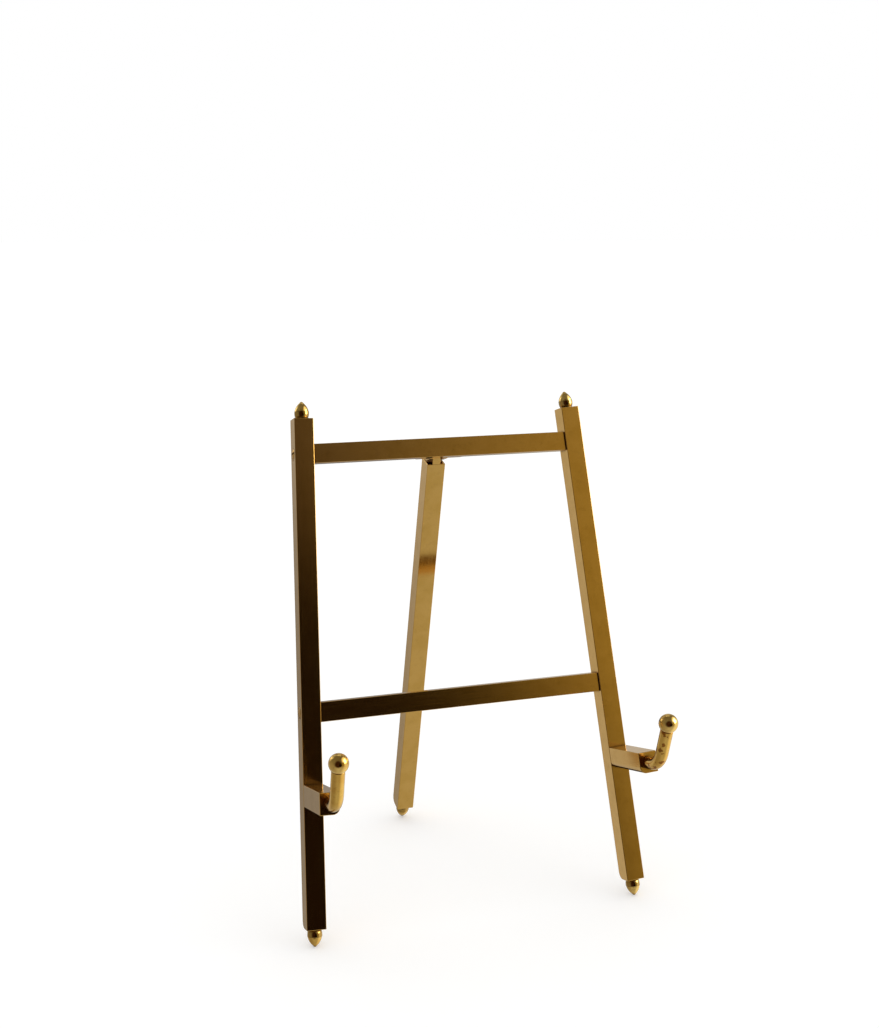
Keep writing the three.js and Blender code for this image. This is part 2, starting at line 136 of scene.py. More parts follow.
# An outline with rounded corners: each corner is an arc about a centre set in from its two edges by its
# radius, point = centre + radius * way. Returns the centres, the ways and the radii, one row for each point.
def roundedOutline(corners, radii, steps):
    corners = np.asarray(corners, float)
    radii = np.broadcast_to(np.asarray(radii, float), len(corners))
    into = corners - np.roll(corners, 1, axis=0)
    outOf = np.roll(into, -1, axis=0)
    normalIn = np.column_stack([into[:, 1], -into[:, 0]]) / np.linalg.norm(into, axis=1)[:, None]
    normalOut = np.column_stack([outOf[:, 1], -outOf[:, 0]]) / np.linalg.norm(outOf, axis=1)[:, None]
    together = np.sum(normalIn * normalOut, axis=1)
    centres = corners - radii[:, None] * (normalIn + normalOut) / (1 + together)[:, None]
    turn = np.arctan2(normalIn[:, 0] * normalOut[:, 1] - normalIn[:, 1] * normalOut[:, 0], together)
    start = np.arctan2(normalIn[:, 1], normalIn[:, 0])
    angles = start[:, None] + turn[:, None] * np.linspace(0, 1, steps + 1)
    ways = np.stack([np.cos(angles), np.sin(angles)], axis=-1).reshape(-1, 2)
    return np.repeat(centres, steps + 1, axis=0), ways, np.repeat(radii, steps + 1)


# A flat face with round recesses in a row: two polygons that meet along a line through the recesses. Each
# recess is rings of (radius, depth), point = centre - depth * normal + radius * (right * sin a - up * cos a),
# and is closed at its bottom.
def faceWithRecesses(shell, loop, startAt, endAt, recesses, steps=48):
    loop = list(loop)
    allPoints = np.vstack(shell.points)
    corners = allPoints[loop]
    normal = np.sum(np.cross(corners, np.roll(corners, -1, axis=0)), axis=0)
    normal /= np.linalg.norm(normal)
    up = allPoints[loop[endAt]] - allPoints[loop[startAt]]
    up -= np.dot(up, normal) * normal
    up /= np.linalg.norm(up)
    right = np.cross(up, normal)
    angle = np.linspace(0, 2 * math.pi, steps, endpoint=False)[:, None]
    around = right * np.sin(angle) - up * np.cos(angle)
    order = np.argsort([np.dot(centre, up) for centre, _ in recesses])
    rightSide, leftSide = [], []
    for number in order:
        centre, profile = recesses[number]
        numbers = np.array([
            shell.add(np.asarray(centre) - depth * normal + radius * around) for radius, depth in profile
        ])
        shell.faces += gridQuads(numbers[::-1]).reshape(-1, 4).tolist()
        shell.faces.append(numbers[-1].tolist())
        rim = numbers[0].tolist()
        rightSide.append(rim[: steps // 2 + 1])
        leftSide.append([rim[0]] + rim[: steps // 2 - 1 : -1])
    oneWay = [loop[(startAt + i) % len(loop)] for i in range((endAt - startAt) % len(loop) + 1)]
    otherWay = [loop[(endAt + i) % len(loop)] for i in range((startAt - endAt) % len(loop) + 1)]
    for arc in reversed(rightSide):
        oneWay += arc[::-1]
    for arc in leftSide:
        otherWay += arc
    shell.faces += [oneWay, otherWay]


# A plate: its outline is carried along a third axis, and shrinks by rim * (1 - cos) as it nears each end,
# while it advances by rim * sin, so that every edge is round. Recesses may go into either flat end or a side.
def plateShell(outline, thickness, rim, layOut, capRecesses=None, sideRecess=None, rimSteps=5):
    centres, ways, radii = outline
    phi = np.linspace(0, math.pi / 2, rimSteps + 1)
    inset = rim * (1 - np.cos(np.concatenate([phi[::-1], phi])))
    height = np.concatenate([
        -thickness / 2 + rim - rim * np.sin(phi[::-1]),
        thickness / 2 - rim + rim * np.sin(phi),
    ])
    flat = centres + (radii - inset[:, None])[..., None] * ways
    points = np.concatenate([flat, np.broadcast_to(height[:, None, None], flat.shape[:2] + (1,))], axis=-1)
    shell = Shell()
    numbers = shell.add(layOut(points)).reshape(flat.shape[:2])
    quads = gridQuads(numbers)
    keep = np.ones(quads.shape[:2], bool)
    if sideRecess:
        segment, recess = sideRecess
        keep[rimSteps, segment] = False
        sideLoop = quads[rimSteps, segment].tolist()
    shell.faces += quads[keep].tolist()
    if sideRecess:
        faceWithRecesses(shell, sideLoop, 0, 2, [recess])
    for name, loop in (("low", numbers[0][::-1]), ("high", numbers[-1])):
        recesses = (capRecesses or {}).get(name)
        if recesses:
            ends = np.vstack(shell.points)[loop] @ recesses["along"]
            faceWithRecesses(shell, loop, int(np.argmin(ends)), int(np.argmax(ends)), recesses["list"])
        else:
            shell.faces.append(loop.tolist())
    return shell


def acrossX(points):  # outline in Y and Z, carried along X
    return points[..., [2, 0, 1]]


def acrossY(points):  # outline in X and Z, carried along -Y
    return np.stack([points[..., 0], -points[..., 2], points[..., 1]], axis=-1)


# A turned piece: the profile's radius is swung round Z, point = (r cos a, r sin a, h).
def turnedShell(profile, steps=72):
    profile = np.asarray(profile, float)
    angle = np.linspace(0, 2 * math.pi, steps, endpoint=False)
    radius, height = profile[:, :1], profile[:, 1:]
    points = np.stack([
        radius * np.cos(angle), radius * np.sin(angle), np.broadcast_to(height, (len(profile), steps))
    ], axis=-1)
    shell = Shell()
    shell.faces += gridQuads(shell.add(points).reshape(len(profile), steps)).reshape(-1, 4).tolist()
    return shell


# A rod: circles of changing radius stand square to a centre line in the YZ plane that rises at an angle t,
# point = centre + r * (cos a, sin a * sin t, sin a * cos t).
def rodShell(centres, angles, radii, steps=48):
    around = np.linspace(0, 2 * math.pi, steps, endpoint=False)
    across = np.stack([np.cos(around), np.zeros(steps), np.zeros(steps)], axis=-1)
    lift = np.stack([np.zeros(len(angles)), np.sin(angles), np.cos(angles)], axis=-1)
    ring = across[None] + np.sin(around)[None, :, None] * lift[:, None]
    points = centres[:, None] + radii[:, None, None] * ring
    shell = Shell()
    shell.faces += gridQuads(shell.add(points).reshape(len(radii), steps)).reshape(-1, 4).tolist()
    return shell


# A smooth line through the given points: each stretch is a cubic with Catmull-Rom slopes.
def smoothThrough(points, steps=6):
    points = np.asarray(points, float)
    slopes = np.gradient(points, axis=0)
    t = np.linspace(0, 1, steps, endpoint=False)[:, None]
    start, end = points[:-1, None], points[1:, None]
    startSlope, endSlope = slopes[:-1, None], slopes[1:, None]
    line = (
        (2 * t**3 - 3 * t**2 + 1) * start + (t**3 - 2 * t**2 + t) * startSlope
        + (3 * t**2 - 2 * t**3) * end + (t**3 - t**2) * endSlope
    )
    return np.vstack([line.reshape(-1, 2), points[-1:]])


# An arc in a profile, about a centre on the axis: point = (r * cos a, height + r * sin a).
def profileArc(height, radius, fromAngle, toAngle, steps):
    angle = np.linspace(fromAngle, toAngle, steps + 1)
    return np.column_stack([np.maximum(radius * np.cos(angle), 0), height + radius * np.sin(angle)])


pieces = []
making = {
    "patternStep": np.array([29.0, 17.0]),  # millimetres from one piece's pattern to the next one's
    "mergeWithin": 2e-7,  # metres
    "sharpAbove": math.radians(34),
}


# The points are placed in the stand, in metres, world = turn * point + move, and coinciding ones are merged,
# which closes poles and seams. The piece keeps its own coordinates in millimetres as the attribute ownPlace,
# which its material reads.
def makePiece(name, shells, place, body, material):
    points, faces, start = [], [], 0
    for shell in shells:
        points += shell.points
        faces += [[number + start for number in face] for face in shell.faces]
        start += shell.count
    local = np.vstack(points)
    world = (local @ place[:3, :3].T + place[:3, 3]) * mm
    mesh = bpy.data.meshes.new(name)
    mesh.from_pydata(world, [], faces, shade_flat=False)
    work = bmesh.new()
    work.from_mesh(mesh)
    bmesh.ops.remove_doubles(work, verts=work.verts, dist=making["mergeWithin"])
    bmesh.ops.recalc_face_normals(work, faces=work.faces)
    work.to_mesh(mesh)
    work.free()
    merged = np.empty(len(mesh.vertices) * 3, np.float32)
    mesh.vertices.foreach_get("co", merged)
    back = np.linalg.inv(place)
    own = (merged.reshape(-1, 3) / mm) @ back[:3, :3].T + back[:3, 3]
    own[:, :2] += making["patternStep"] * (len(pieces) + 1)
    attribute = mesh.attributes.new("ownPlace", "FLOAT_VECTOR", "POINT")
    attribute.data.foreach_set("vector", own.astype(np.float32).ravel())
    mesh.set_sharp_from_angle(angle=making["sharpAbove"])
    piece = bpy.data.objects.new(name, mesh)
    bpy.context.scene.collection.objects.link(piece)
    mesh.materials.append(material)
    weighted = piece.modifiers.new("flat faces stay flat", "WEIGHTED_NORMAL")
    weighted.keep_sharp = True
    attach(piece, body)
    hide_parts(name.replace("Fine", ""))
    pieces.append(piece)


# An sRGB colour such as #dfb566 as linear red, green and blue, with an alpha of one.
def linear(hexColour):
    values = np.array([int(hexColour[i : i + 2], 16) for i in (1, 3, 5)]) / 255
    return tuple(np.where(values <= 0.04045, values / 12.92, ((values + 0.055) / 1.055) ** 2.4)) + (1.0,)


# The brasses. Grain scales a piece's own coordinates, low along the way of polishing. The heights of grain
# and wave are in millimetres. Spots is how strongly the tarnish colour shows where the specks pass the range
# spotsAt: tarnish spots, and on the right peg's brass painted reflections.
brasses = {
    "barBrass": {
        "bright": "#dfb566", "dull": "#d8ae5d", "tarnishAndShade": "#5d3f1b", "roughness": (0.08, 0.14),
        "grain": (5.0, 5.0, 0.05), "grainHeight": 0.0016, "waveHeight": 0.0025,
        "spots": 0.05, "spotsAt": (0.585, 0.635),
    },
    "armBrass": {
        "bright": "#dfb566", "dull": "#d8ae5d", "tarnishAndShade": "#5d3f1b", "roughness": (0.08, 0.14),
        "grain": (5.0, 0.08, 5.0), "grainHeight": 0.0016, "waveHeight": 0.0025,
        "spots": 0.05, "spotsAt": (0.585, 0.635),
    },
    "railBrass": {
        "bright": "#dcb164", "dull": "#d5aa5a", "tarnishAndShade": "#593c19", "roughness": (0.09, 0.15),
        "grain": (0.05, 5.0, 5.0), "grainHeight": 0.0016, "waveHeight": 0.0030,
        "spots": 0.06, "spotsAt": (0.585, 0.635),
    },
    "hookBrass": {
        "bright": "#e3bb62", "dull": "#d6a951", "tarnishAndShade": "#4d3112", "roughness": (0.08, 0.15),
        "grain": (2.4, 0.5, 0.5), "grainHeight": 0.0010, "waveHeight": 0.010,
        "spots": 0.10, "spotsAt": (0.585, 0.635),
    },
    # the right peg's brass: its dense orange specks are painted reflections
    "reflectionSpottedBrass": {
        "bright": "#e3bb62", "dull": "#d6a951", "tarnishAndShade": "#8a4c0a", "roughness": (0.08, 0.15),
        "grain": (2.4, 0.5, 0.5), "grainHeight": 0.0010, "waveHeight": 0.014,
        "spots": 0.85, "spotsAt": (0.56, 0.63),
    },
    "turnedBrass": {
        "bright": "#eac878", "dull": "#d6ac58", "tarnishAndShade": "#55391a", "roughness": (0.07, 0.15),
        "grain": (0.02, 0.02, 7.0), "grainHeight": 0.0010, "waveHeight": 0.006,
        "spots": 0.18, "spotsAt": (0.585, 0.635),
    },
    "acornBrass": {
        "bright": "#eac878", "dull": "#d6ac58", "tarnishAndShade": "#55391a", "roughness": (0.07, 0.15),
        "grain": (0.02, 0.02, 7.0), "grainHeight": 0.0010, "waveHeight": 0.006,
        "spots": 0.18, "spotsAt": (0.585, 0.635),
        "collarFrom": 3.38, "collarPaintedReflection": 0.42,  # the collar is darkened above the break: a painted dark reflection
    },
    "screwBrass": {
        "bright": "#cfa55c", "dull": "#a57c38", "tarnishAndShade": "#3a2812", "roughness": (0.22, 0.36),
        "grain": (0.6, 0.6, 6.0), "grainHeight": 0.0030, "waveHeight": 0.010,
        "spots": 0.35, "spotsAt": (0.585, 0.635),
    },
}

# The noises that all the brasses share, per millimetre, with the ranges of them that turn into a look.
patterns = {
    "patches": {"scale": 0.16, "detail": 4.0, "offset": 0.0, "range": (0.36, 0.70)},
    "lines": {"scale": 1.0, "detail": 3.0, "offset": 0.0, "range": (0.25, 0.75)},
    "specks": {"scale": 0.42, "detail": 2.0, "offset": 3.7},
    "waves": {"scale": 0.22, "detail": 1.5, "offset": 8.1},
    # painted shade: the tarnish colour is mixed in where ambient occlusion finds surfaces close by
    "crevice": {"reach": 1.6, "samples": 8, "range": (0.30, 0.95), "tarnishAndShade": 0.72},
    "collarBlend": 0.05,  # millimetres to each side of the collar's edge
}
nodeLayout = {"inRow": 8, "across": 200, "down": 300}
mixFirst, mixSecond, mixResult = 6, 7, 2  # the colour sockets of a mix node


# Polished brass: fine lines along the polishing, a faint waviness, dull patches, small tarnish spots (painted
# reflections on the right peg), and painted shade in the crevices between pieces. Its colour is bright, mixed
# with dull by the patches, and then with the tarnish colour by the specks, as a painted dark reflection above
# the collar's edge, and as painted shade in the crevices.
def brass(name):
    look = brasses[name]
    material = bpy.data.materials.new(name)
    material.use_nodes = True
    nodes, links = material.node_tree.nodes, material.node_tree.links
    shader = nodes["Principled BSDF"]
    shader.inputs["Metallic"].default_value = 1.0

    def node(kind, **values):
        made = nodes.new(kind)
        row, column = divmod(len(nodes), nodeLayout["inRow"])
        made.location = (-nodeLayout["across"] * (column + 1), -nodeLayout["down"] * row)
        for key, value in values.items():
            setattr(made, key, value)
        return made

    own = node("ShaderNodeAttribute", attribute_name="ownPlace").outputs["Vector"]

    def noise(kind, stretch=(1, 1, 1)):
        pattern = patterns[kind]
        mapping = node("ShaderNodeMapping")
        mapping.inputs["Scale"].default_value = stretch
        mapping.inputs["Location"].default_value = (pattern["offset"],) * 3
        links.new(own, mapping.inputs["Vector"])
        made = node("ShaderNodeTexNoise")
        made.inputs["Scale"].default_value = pattern["scale"]
        made.inputs["Detail"].default_value = pattern["detail"]
        links.new(mapping.outputs["Vector"], made.inputs["Vector"])
        return made.outputs["Fac"]

    def ranged(value, low, high, toLow, toHigh):
        made = node("ShaderNodeMapRange", interpolation_type="SMOOTHSTEP")
        for socket, number in zip(("From Min", "From Max", "To Min", "To Max"), (low, high, toLow, toHigh)):
            made.inputs[socket].default_value = number
        links.new(value, made.inputs["Value"])
        return made.outputs["Result"]

    def mixed(factor, first, second):
        made = node("ShaderNodeMix", data_type="RGBA")
        links.new(factor, made.inputs["Factor"])
        for socket, value in ((made.inputs[mixFirst], first), (made.inputs[mixSecond], second)):
            if isinstance(value, tuple):
                socket.default_value = value
            else:
                links.new(value, socket)
        return made.outputs[mixResult]

    def bump(height, distance, onTopOf=None):
        made = node("ShaderNodeBump")
        made.inputs["Strength"].default_value = 1.0
        made.inputs["Distance"].default_value = distance * mm
        links.new(height, made.inputs["Height"])
        if onTopOf:
            links.new(onTopOf, made.inputs["Normal"])
        return made.outputs["Normal"]

    bright, dull, tarnishAndShade = [linear(look[key]) for key in ("bright", "dull", "tarnishAndShade")]
    lines = noise("lines", look["grain"])
    colour = mixed(ranged(noise("patches"), *patterns["patches"]["range"], 0.0, 1.0), bright, dull)
    # Specks of the tarnish colour: tarnish spots, and on the right peg's brass painted reflections.
    colour = mixed(ranged(noise("specks"), *look["spotsAt"], 0.0, look["spots"]), colour, tarnishAndShade)
    # Painted dark reflection: above the collar's edge the colour is mixed towards the tarnish colour.
    if "collarFrom" in look:
        heights = node("ShaderNodeSeparateXYZ")
        links.new(own, heights.inputs["Vector"])
        low, high = look["collarFrom"] - patterns["collarBlend"], look["collarFrom"] + patterns["collarBlend"]
        colour = mixed(ranged(heights.outputs["Z"], low, high, 0.0, look["collarPaintedReflection"]), colour, tarnishAndShade)
    # Painted shade: where ambient occlusion finds surfaces within reach, the colour is mixed towards the
    # tarnish colour.
    crevice = node("ShaderNodeAmbientOcclusion", samples=patterns["crevice"]["samples"])
    crevice.inputs["Distance"].default_value = patterns["crevice"]["reach"] * mm
    creviceShade = ranged(
        crevice.outputs["AO"], *patterns["crevice"]["range"], patterns["crevice"]["tarnishAndShade"], 0.0,
    )
    links.new(mixed(creviceShade, colour, tarnishAndShade), shader.inputs["Base Color"])
    roughness = ranged(lines, *patterns["lines"]["range"], *look["roughness"])
    links.new(roughness, shader.inputs["Roughness"])
    fine = bump(lines, look["grainHeight"])
    links.new(bump(noise("waves"), look["waveHeight"], fine), shader.inputs["Normal"])
    return material


materials = {name: brass(name) for name in brasses}
print("materials:", ", ".join(materials))

# Square bars: the posts, arms, rails and rear leg. Steps are those of one rounded corner.
bars = {"edge": 0.26, "rim": 0.22, "heel": 3.0, "steps": 10}

screws = {
    "rail": {"radius": 1.4, "headRadius": 2.5, "headDepth": 1.2, "dome": 0.5, "slot": 0.6, "slotDepth": 0.9,
             "length": 16.1},
    "strap": {"radius": 1.0, "headRadius": 1.9, "headDepth": 0.9, "dome": 0.4, "slot": 0.5, "slotDepth": 0.7,
              "length": 5.3},
    "clearance": 0.12,  # round a head or a shank
    "mouth": [(0.05, 0.0), (0.015, 0.012), (0.0, 0.05)],  # of a hole: beyond its cone's radius, and depth
    "boreShown": 1.0,
    "slotWall": 0.01,  # how far the walls of a slot lean
    "landRows": 12,  # of the head's grid, on each side of the slot
    "slotRows": 4,
    "across": 25,
    "slotTurns": {"left": (28, 104, 63), "right": (151, 76, 12)},  # degrees: lower rail, upper rail, arm
}


# The rings of a countersunk hole, (radius, depth): a barely rounded mouth, a cone and the start of a bore.
def countersink(kind):
    clearance = screws["clearance"]
    mouth, bore = kind["headRadius"] + clearance, kind["radius"] + clearance
    coneEnd = kind["headDepth"] + clearance
    rounded = [(mouth + beyond, depth) for beyond, depth in screws["mouth"]]
    return rounded + [(bore, coneEnd), (bore, coneEnd + screws["boreShown"])]


# A bar seen from its side: a rectangle whose lower back corner is a round heel.
def barOutline(bottom, top):
    corners = [(-halfBar, bottom), (halfBar, bottom), (halfBar, top), (-halfBar, top)]
    return roundedOutline(corners, [bars["edge"], bars["heel"], bars["edge"], bars["edge"]], bars["steps"])


railScrewHeights = [stand[key] / math.cos(stand["splay"]) for key in ("lowerRailAt", "upperRailAt")]
barBack = 2 * bars["steps"] + 1  # the stretch of that outline from its second corner to its third


# A post: a bar's outline carried across, with two screw holes in its outer side and one in its back.
def postShell(side):
    mouth = countersink(screws["rail"])
    recesses = {"along": np.array([0, 0, 1.0]), "list": [
        ((side * halfBar, 0, height), mouth) for height in railScrewHeights
    ]}
    return plateShell(
        barOutline(stand["postBottom"], stand["postTop"]), stand["bar"], bars["rim"], acrossX,
        capRecesses={"high" if side > 0 else "low": recesses},
        sideRecess=(barBack, ((0, halfBar, stand["armMiddle"]), mouth)),
    )


arms = {"height": 8.7, "length": 28.5, "bottom": 55.2, "round": 2.8, "rim": 0.3, "steps": 12}
armFront = -(halfBar + stand["gap"] + arms["length"])


# An arm: a rectangle with its lower inner edge rounded, carried forwards from the post.
def armShell(side):
    low, high = arms["bottom"], arms["bottom"] + arms["height"]
    corners = [(-halfBar, low), (halfBar, low), (halfBar, high), (-halfBar, high)]
    radii = [bars["edge"]] * 4
    radii[0 if side > 0 else 1] = arms["round"]
    shell = plateShell(roundedOutline(corners, radii, arms["steps"]), arms["length"], arms["rim"], acrossY)
    shell.points = [points + (0, armFront + arms["length"] / 2, 0) for points in shell.points]
    return shell


rails = {"height": 8.0, "depth": 6.0, "steps": 8}


# A rail: an outline whose ends lean with the posts, carried from back to front. At a height z it reaches out
# by half the spread of the feet, less z * tan(splay), less half a bar and a gap over cos(splay).
def railShell(railAt):
    bottom, top = railAt - rails["height"] / 2, railAt + rails["height"] / 2
    postSide = (halfBar + stand["gap"]) / math.cos(stand["splay"])
    reach = [stand["footSpread"] / 2 - z * math.tan(stand["splay"]) - postSide for z in (bottom, top)]
    corners = [(-reach[0], bottom), (reach[0], bottom), (reach[1], top), (-reach[1], top)]
    outline = roundedOutline(corners, bars["edge"], rails["steps"])
    return plateShell(outline, rails["depth"], bars["rim"], acrossY)


for name, side in (("left", -1), ("right", 1)):
    place = sideFrame(side)
    makePiece(name + "_postFine", [postShell(side)], place, "front_frame", materials["barBrass"])
    makePiece(name + "_armFine", [armShell(side)], place, "front_frame", materials["armBrass"])
for name in ("lower", "upper"):
    shell = railShell(stand[name + "RailAt"])
    makePiece(name + "_railFine", [shell], frontFrame, "front_frame", materials["railBrass"])

tongue = {
    "width": 3.5, "shoulder": 4.8, "heelLength": 4.6, "heelFace": 4.2, "radius": 0.45, "rim": 0.25,
    "inset": 0.05, "bevel": 0.4, "steps": 5,
}


# The rear leg: a bar, and a tongue with a heel turned by the open angle, so that its face meets the strap.
# A point of the heel, face forwards and length up, goes to (s * length - c * face, c * length + s * face).
def rearLegShells():
    lowerEnd = stand["postBottom"] - rear["length"]
    bar = plateShell(barOutline(lowerEnd, -tongue["shoulder"]), stand["bar"], bars["rim"], acrossX)
    c, s = math.cos(rear["openAngle"]), math.sin(rear["openAngle"])
    face, length = tongue["heelFace"], tongue["heelLength"]
    foot, edge = -tongue["shoulder"] - bars["heel"], halfBar - tongue["inset"]
    corners = [
        (-edge, foot), (edge, foot), (edge, 0), (halfBar - tongue["bevel"], halfBar / 2),
        (s * length, c * length), (-c * face + s * length, s * face + c * length), (-c * face, s * face),
        (-edge, 0),
    ]
    outline = roundedOutline(corners, tongue["radius"], tongue["steps"])
    return [bar, plateShell(outline, tongue["width"], tongue["rim"], acrossX)]


makePiece("rear_legFine", rearLegShells(), rearFrame, "rear_leg", materials["barBrass"])
print("bars: posts, arms, rails and rear leg")

# Hooks: bent pegs and their balls. The run and the rise are a peg's two straight stretches, and plain is the
# distance from a rim or the bend to the next ring.
peg = {
    "radius": 2.65, "run": 3.9, "bendRadius": 11.0, "bend": math.radians(58), "rise": 11.2, "rim": 0.22,
    "roll": math.radians(4), "spigotRadius": 1.7, "spigot": 6.5, "ballSpigotRadius": 1.3, "ballSpigot": 2.4,
    "rimSteps": 5, "bendSteps": 40, "riseSteps": 8, "plain": 1.0,
}
ball = {
    "radius": 3.9, "boreRadius": 1.42, "boreDepth": 2.52, "lip": 0.12, "lipRise": 0.03, "lipTurn": 0.035,
    "arcSteps": 40, "aroundSteps": 96,
}
pegArc = peg["bendRadius"] * peg["bend"]
pegTotal = peg["run"] + pegArc + peg["rise"]


# The peg's centre line and its angle above the arm, at distances from the arm's face: straight forwards, an
# arc (R * sin a, R * (1 - cos a)), and straight again along (cos a, sin a) at the bend's full angle.
def pegLine(distance):
    angle = np.clip((distance - peg["run"]) / peg["bendRadius"], 0, peg["bend"])
    before = np.minimum(distance, peg["run"])
    after = np.maximum(distance - peg["run"] - pegArc, 0)
    forwards = before + peg["bendRadius"] * np.sin(angle) + after * np.cos(angle)
    upwards = peg["bendRadius"] * (1 - np.cos(angle)) + after * np.sin(angle)
    return np.column_stack([np.zeros_like(distance), -forwards, upwards]), angle


# A peg: a rod along that line, whose rims are quarter circles, with a thinner spigot beyond each end.
def pegShell():
    radius, rim, plain = peg["radius"], peg["rim"], peg["plain"]
    quarter = np.linspace(0, math.pi / 2, peg["rimSteps"])
    bendEnd, spigotEnd = peg["run"] + pegArc, pegTotal + peg["ballSpigot"]
    turning = np.linspace(peg["run"], bendEnd, peg["bendSteps"])
    rising = np.linspace(bendEnd + plain, pegTotal - rim - plain, peg["riseSteps"])
    distance = np.concatenate([
        [-peg["spigot"], -peg["spigot"], 0.0], rim * (1 - np.cos(quarter)), [rim + plain], turning, rising,
        pegTotal - rim * (1 - np.cos(quarter[::-1])), [pegTotal, spigotEnd, spigotEnd],
    ])
    rounding = radius - rim + rim * np.sin(quarter)
    radii = np.concatenate([
        [0, peg["spigotRadius"], peg["spigotRadius"]], rounding,
        np.full(1 + len(turning) + len(rising), radius), rounding[::-1],
        [peg["ballSpigotRadius"], peg["ballSpigotRadius"], 0],
    ])
    centres, angles = pegLine(distance)
    return rodShell(centres, angles, radii)


# A ball: an arc swung round, from its seat on the peg up to the pole, with a thin lip there and a blind bore.
def ballShell():
    seat = math.sqrt(ball["radius"] ** 2 - peg["radius"] ** 2)
    seatAngle = math.acos(peg["radius"] / ball["radius"])
    return turnedShell(np.vstack([
        [(0, ball["boreDepth"] - seat), (ball["boreRadius"], ball["boreDepth"] - seat)],
        [(ball["boreRadius"], -seat), (peg["radius"] - 2 * ball["lip"], -seat)],
        [(peg["radius"] - ball["lip"] / 2, ball["lipRise"] - seat)],
        profileArc(0, ball["radius"], ball["lipTurn"] - seatAngle, math.pi / 2, ball["arcSteps"]),
    ]), ball["aroundSteps"])


pegEnd, pegAngle = pegLine(np.array([pegTotal]))
ballMiddle = math.sqrt(ball["radius"] ** 2 - peg["radius"] ** 2) + stand["gap"]
ballPlace = move(*pegEnd[0]) @ turnAbout("x", math.pi / 2 - pegAngle[0]) @ move(z=ballMiddle)
for name, side in (("left", -1), ("right", 1)):
    armFace = sideFrame(side) @ move(0, armFront - stand["gap"], stand["armMiddle"])
    hook = armFace @ turnAbout("y", side * peg["roll"])
    # The right peg gets the brass whose specks are painted reflections.
    pegBrass = materials["reflectionSpottedBrass" if side > 0 else "hookBrass"]
    makePiece(name + "_hook_pegFine", [pegShell()], hook, "front_frame", pegBrass)
    makePiece(
        name + "_hook_ballFine", [ballShell()], hook @ ballPlace, "front_frame",
        materials["turnedBrass"],
    )
print("hooks: pegs and balls")

# Acorns, pointing down: a bead under the bar, a break, and a slightly swollen cone to a rounded tip. The
# profiles are (radius, height), up from the centre of the tip.
acorn = {
    "tipSteps": 6,
    "coneFrom": 0.45,  # below the centre of the tip, as a part of its radius
    "cone": [(0.74, -0.36), (1.40, 0.30), (1.97, 1.02), (2.43, 1.80), (2.75, 2.60), (2.93, 3.30)],
    "bead": [(2.85, 3.37), (3.01, 3.44), (3.03, 3.75), (3.02, 4.20), (2.98, 4.75), (2.88, 5.28),
             (2.72, 5.72), (2.52, 6.02), (2.38, 6.14)],
    "stemRadius": 1.6,
    "stem": 9.0,
}


# An acorn: the tip's arc, the cone, the bead and a stem up into the bar, swung round as one profile.
def acornShell():
    top = stand["postBottom"] - stand["gap"]
    stemTop = top + acorn["stem"]
    return turnedShell(np.vstack([
        profileArc(0, stand["tipRadius"], -math.pi / 2, -math.asin(acorn["coneFrom"]), acorn["tipSteps"]),
        smoothThrough(acorn["cone"]), smoothThrough(acorn["bead"]),
        [(acorn["bead"][-1][0], top), (acorn["stemRadius"], top)],
        [(acorn["stemRadius"], stemTop), (0, stemTop)],
    ]))


acornBrass = materials["acornBrass"]
for name, side in (("left", -1), ("right", 1)):
    place = sideFrame(side)
    upsideDown = place @ move(z=stand["postTop"] + stand["postBottom"]) @ turnAbout("x", math.pi)
    for part, where in (("_foot_acorn", place), ("_top_acorn", upsideDown)):
        makePiece(name + part + "Fine", [acornShell()], where, "front_frame", acornBrass)
rearFoot = rearFrame @ move(z=-rear["length"])
makePiece("rear_foot_acornFine", [acornShell()], rearFoot, "rear_leg", acornBrass)
print("acorns")


# A screw: its head is a grid of chords from rim to rim of a circle, in rows across the slot that are closer at
# its walls. Height is dome * (1 - (r / R)^2), and the slot's floor lies flat below it. The rim then goes down
# to the shank.
def screwShell(kind):
    head, floor, slotHalf = kind["headRadius"], kind["dome"] - kind["slotDepth"], kind["slot"] / 2
    wall = screws["slotWall"]
    land = np.linspace(slotHalf, head, screws["landRows"])
    rows = np.concatenate([-land[::-1], np.linspace(-1, 1, screws["slotRows"]) * (slotHalf - wall), land])
    inSlot = np.abs(rows) < slotHalf - wall / 2
    cone = kind["radius"] + (head - kind["radius"]) * (1 + floor / kind["headDepth"])
    rowRadius = np.where(inSlot, cone, head)
    chord = np.sqrt(np.maximum(rowRadius**2 - rows**2, 0))
    across = np.linspace(-1, 1, screws["across"])[None, :] * chord[:, None]
    along = np.broadcast_to(rows[:, None], across.shape)
    dome = kind["dome"] * (1 - (across**2 + along**2) / head**2)
    height = np.where(inSlot[:, None], floor, dome)
    shell = Shell()
    numbers = shell.add(np.stack([across, along, height], axis=-1)).reshape(across.shape)
    quads = np.stack([numbers[:-1, :-1], numbers[:-1, 1:], numbers[1:, 1:], numbers[1:, :-1]], axis=-1)
    shell.faces += quads.reshape(-1, 4).tolist()
    rim = np.concatenate([numbers[:, -1], numbers[::-1, 0]])
    edge = np.vstack(shell.points)[rim]
    way = edge[:, :2] / np.linalg.norm(edge[:, :2], axis=1)[:, None]
    rings = [rim] + [
        shell.add(np.column_stack([radius * way, np.full(len(way), depth)]))
        for radius, depth in (
            (kind["radius"], -kind["headDepth"]), (kind["radius"], -kind["length"]), (0, -kind["length"])
        )
    ]
    shell.faces += gridQuads(np.array(rings)).reshape(-1, 4).tolist()
    return shell


# Places a screw with its slot turned by so many degrees.
def addScrew(name, kind, place, slotTurn):
    where = place @ turnAbout("z", math.radians(slotTurn))
    makePiece(name + "Fine", [screwShell(kind)], where, "front_frame", materials["screwBrass"])


